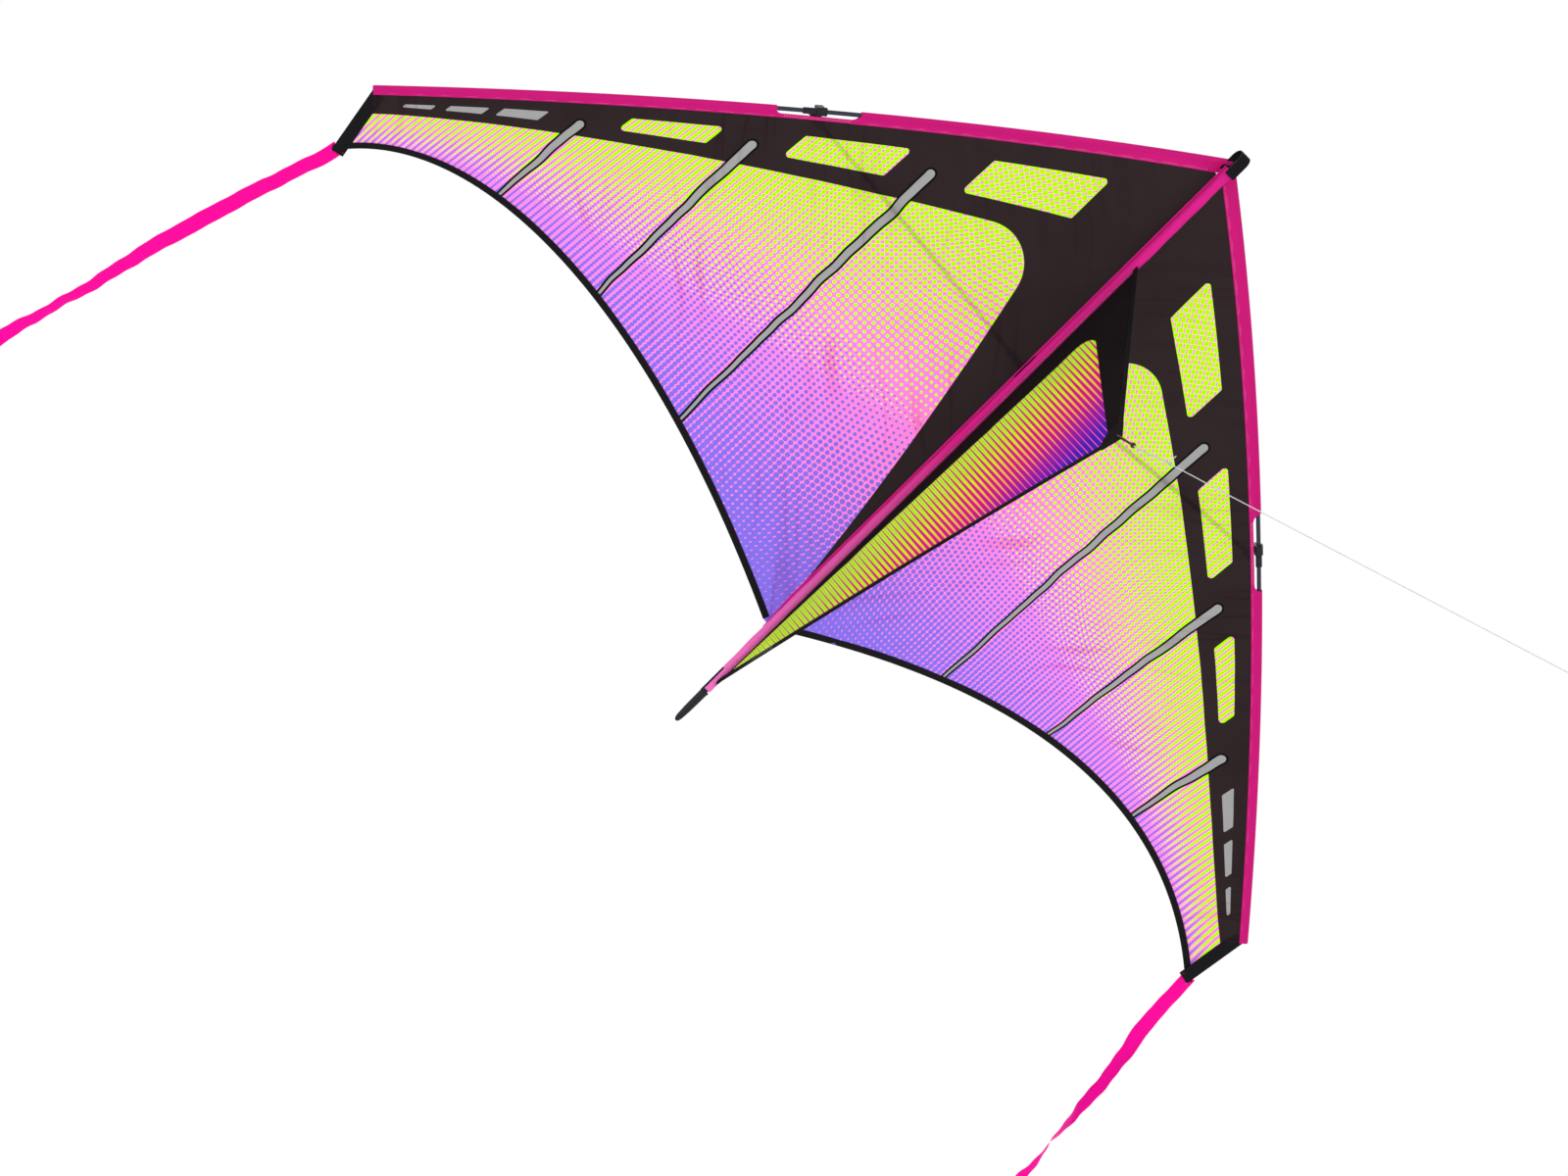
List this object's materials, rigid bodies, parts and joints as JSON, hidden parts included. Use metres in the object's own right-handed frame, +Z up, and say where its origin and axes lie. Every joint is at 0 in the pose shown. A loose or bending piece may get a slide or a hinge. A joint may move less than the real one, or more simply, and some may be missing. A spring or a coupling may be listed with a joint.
{
  "type": "delta kite",
  "caption": "Single-line delta kite with printed sail panels, fabric keel, two-part spars, dihedral spreader, ribbon tails and a taut flying line.",
  "frame": {"origin": "tow point, the lower corner of the keel where the line ties on", "axes": "+Y forward along the spine to the nose, +X to the kite's right wing, +Z up, away from the keel"},
  "size_m": [1.7198, 1.2803, 1.7314],
  "materials": {
    "sail_cloth": "printed ripstop nylon",
    "sleeve_cloth": "woven nylon, stitched",
    "keel_cloth": "printed ripstop nylon",
    "black_webbing": "woven tape",
    "ribbon_cloth": "thin ripstop ribbon",
    "rod": "pultruded carbon and glass fibre",
    "ferrule_metal": "drawn tube",
    "moulded_black": "moulded nylon",
    "cap_vinyl": "dipped vinyl",
    "flexible_tube": "vinyl tube",
    "tow_cord": "braided polyester",
    "line_cord": "braided polyester"
  },
  "bodies": {
    "spine": {"spine_front_rod": "rod", "spine_rear_rod": "rod", "spine_ferrule": "ferrule_metal", "spine_sleeve": "sleeve_cloth", "spine_nose_cap": "cap_vinyl", "spine_tail_cap": "cap_vinyl", "nose_webbing": "black_webbing", "centre_fitting": "moulded_black", "right_centre_tube": "flexible_tube", "left_centre_tube": "flexible_tube"},
    "keel": {"keel_panel": "keel_cloth", "keel_edge_tape": "black_webbing", "tow_patch": "black_webbing", "tow_loop": "tow_cord", "tow_knot": "tow_cord", "line_leader": "line_cord", "leader_knot": "line_cord", "flying_line": "line_cord", "line_end_loop": "line_cord"},
    "right_wing": {"right_sail": "sail_cloth", "right_leading_edge_sleeve": "sleeve_cloth", "right_inner_spar": "rod", "right_outer_spar": "rod", "right_spar_ferrule": "ferrule_metal", "right_nose_end_cap": "cap_vinyl", "right_tip_cap": "cap_vinyl", "right_spreader_fitting": "moulded_black", "right_fitting_stop": "moulded_black", "right_spreader_rod": "rod", "right_spreader_end_cap": "cap_vinyl", "right_trailing_edge_binding": "black_webbing", "right_tip_webbing": "black_webbing", "right_tail": "ribbon_cloth"},
    "left_wing": {"left_sail": "sail_cloth", "left_leading_edge_sleeve": "sleeve_cloth", "left_inner_spar": "rod", "left_outer_spar": "rod", "left_spar_ferrule": "ferrule_metal", "left_nose_end_cap": "cap_vinyl", "left_tip_cap": "cap_vinyl", "left_spreader_fitting": "moulded_black", "left_fitting_stop": "moulded_black", "left_spreader_rod": "rod", "left_spreader_end_cap": "cap_vinyl", "left_trailing_edge_binding": "black_webbing", "left_tip_webbing": "black_webbing", "left_tail": "ribbon_cloth"}
  },
  "joints": [
    {"name": "right_wing_fold", "type": "hinge", "parent": "spine", "child": "right_wing", "pos_m": [0.0075, 0, 0.296], "axis": [0, 1, 0], "range_deg": [-10, 70], "deforming": ["right_centre_tube"]},
    {"name": "left_wing_fold", "type": "hinge", "parent": "spine", "child": "left_wing", "pos_m": [-0.0075, 0, 0.296], "axis": [0, -1, 0], "range_deg": [-10, 70], "deforming": ["left_centre_tube"]},
    {"name": "keel_swing", "type": "hinge", "parent": "spine", "child": "keel", "pos_m": [0, 0, 0.2818], "axis": [0, 1, 0], "range_deg": [-15, 15]}
  ]
}
